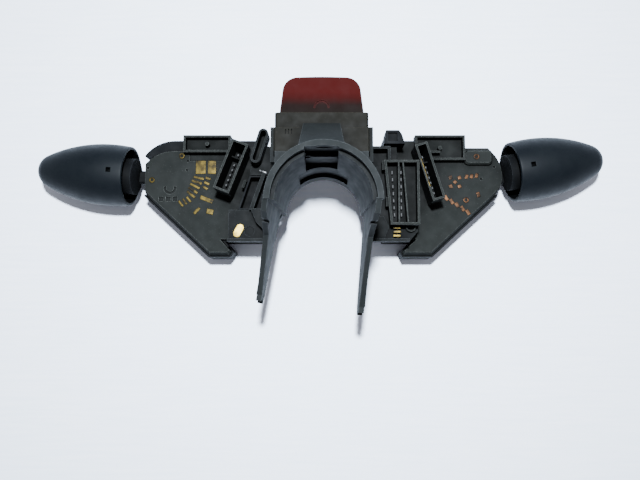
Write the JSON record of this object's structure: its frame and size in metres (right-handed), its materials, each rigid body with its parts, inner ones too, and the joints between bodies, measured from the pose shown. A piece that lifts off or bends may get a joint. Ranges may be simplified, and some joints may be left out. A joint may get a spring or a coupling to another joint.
{
  "type": "combination stalk switch",
  "caption": "Steering-column combination switch: half-round saddle with long legs, red hazard button, triangular stalk modules with contact tracks and fat hollow barrel grips.",
  "frame": {"origin": "on the steering-column axis at the saddle's driver-side mouth", "axes": "+X right seen from the dash, +Y towards the hazard button, +Z along the column towards the dash"},
  "size_m": [0.3806, 0.1432, 0.104],
  "materials": {
    "bracket_plastic": "satin moulded, bluish grey",
    "hazard_plastic": "warm grey moulded",
    "red_lens": "translucent red",
    "plate_plastic": "charcoal moulded",
    "case_plastic": "black moulded",
    "grip_plastic": "satin black",
    "inner_plastic": "natural moulded",
    "brass": "stamped",
    "copper": "stamped, copper-toned",
    "steel": "plain",
    "dark_metal": "tarnished"
  },
  "bodies": {
    "base": {"column_bracket": "bracket_plastic", "bracket_screws": "dark_metal", "hazard_housing": "hazard_plastic", "hazard_contacts": "brass", "hazard_spring": "steel", "main_connector": "plate_plastic", "main_connector_blades": "dark_metal", "cancel_spring": "steel", "horn_pad": "brass", "left_terminal_box": "case_plastic", "right_side_plug": "case_plastic", "right_terminal_bars": "brass", "right_socket_blade": "brass", "left_case": "case_plastic", "left_contact_plate": "plate_plastic", "left_eyelets": "brass", "left_tracks": "brass", "left_socket_pins": "dark_metal", "left_detent_track": "inner_plastic", "right_case": "case_plastic", "right_contact_plate": "plate_plastic", "right_eyelets": "copper", "right_tracks": "copper", "right_socket_pins": "dark_metal", "right_detent_track": "inner_plastic"},
    "hazard_key": {"hazard_button": "red_lens", "hazard_plunger": "inner_plastic", "hazard_bridge": "brass"},
    "turn_pawl": {"cancel_pawl": "inner_plastic"},
    "left_swing": {"left_swing_carrier": "inner_plastic", "left_detent_plunger": "steel", "left_detent_spring": "steel", "left_wiper": "brass", "left_tilt_pin": "steel"},
    "right_swing": {"right_swing_carrier": "inner_plastic", "right_detent_plunger": "steel", "right_detent_spring": "steel", "right_wiper": "brass", "right_tilt_pin": "steel"},
    "left_stalk": {"left_lever": "case_plastic", "left_light_board": "inner_plastic"},
    "left_grip": {"left_barrel": "grip_plastic", "left_light_rotor": "inner_plastic"},
    "right_stalk": {"right_lever": "case_plastic", "right_barrel": "grip_plastic"}
  },
  "joints": [
    {"name": "hazard_press", "type": "slide", "parent": "base", "child": "hazard_key", "axis": [0, -1, 0], "range_m": [0, 0.004], "stiffness_N_per_m": 600, "springref_m": -0.002, "deforming": ["hazard_spring"]},
    {"name": "left_turn", "type": "hinge", "parent": "base", "child": "left_swing", "pos_m": [-0.096, 0.029, -0.02], "axis": [0, 0, 1], "range_deg": [-9, 9]},
    {"name": "left_dip", "type": "hinge", "parent": "left_swing", "child": "left_stalk", "pos_m": [-0.1085, 0.029, -0.019], "axis": [0, 1, 0], "range_deg": [-5, 5], "stiffness_Nm_per_rad": 6},
    {"name": "light_twist", "type": "hinge", "parent": "left_stalk", "child": "left_grip", "pos_m": [-0.1291, 0.0281, -0.0078], "axis": [-0.9957, 0.0766, -0.0523], "range_deg": [0, 50]},
    {"name": "right_wipe", "type": "hinge", "parent": "base", "child": "right_swing", "pos_m": [0.096, 0.029, -0.02], "axis": [0, 0, 1], "range_deg": [-6, 18]},
    {"name": "right_wash", "type": "hinge", "parent": "right_swing", "child": "right_stalk", "pos_m": [0.1085, 0.029, -0.019], "axis": [0, 1, 0], "range_deg": [-5, 5], "stiffness_Nm_per_rad": 6},
    {"name": "pawl_rock", "type": "hinge", "parent": "base", "child": "turn_pawl", "pos_m": [-0.05, 0.022, -0.023], "axis": [0, 0, 1], "range_deg": [-8, 8], "stiffness_Nm_per_rad": 0.02, "deforming": ["cancel_spring"]}
  ]
}
